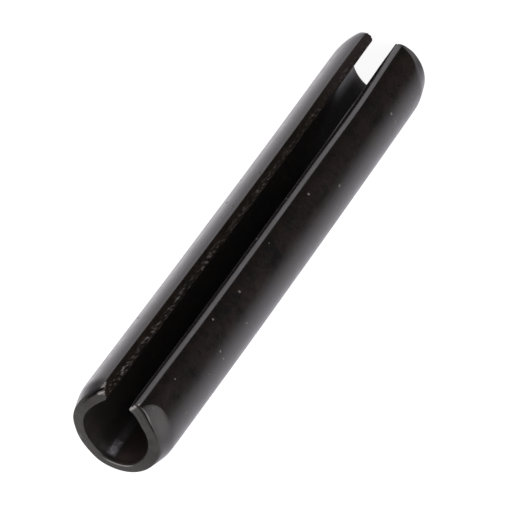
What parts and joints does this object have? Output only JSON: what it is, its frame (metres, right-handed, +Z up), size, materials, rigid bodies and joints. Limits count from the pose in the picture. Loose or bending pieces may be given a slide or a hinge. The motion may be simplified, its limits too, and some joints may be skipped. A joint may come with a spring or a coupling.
{
  "type": "slotted spring pin",
  "caption": "Slotted spring pin: a hardened steel strip rolled into an open tube, with tapered ends and a straight slot along its whole length.",
  "frame": {"origin": "on the pin's axis, on the surface that the lower end stands on", "axes": "+Z up along the pin's axis; the slot faces the front, -Y; both ends are alike"},
  "size_m": [0.0084, 0.0079, 0.05],
  "materials": {
    "spring_steel": "black oxide, lightly oiled, satin"
  },
  "bodies": {
    "root": {"spring_pin": "spring_steel"}
  },
  "joints": []
}
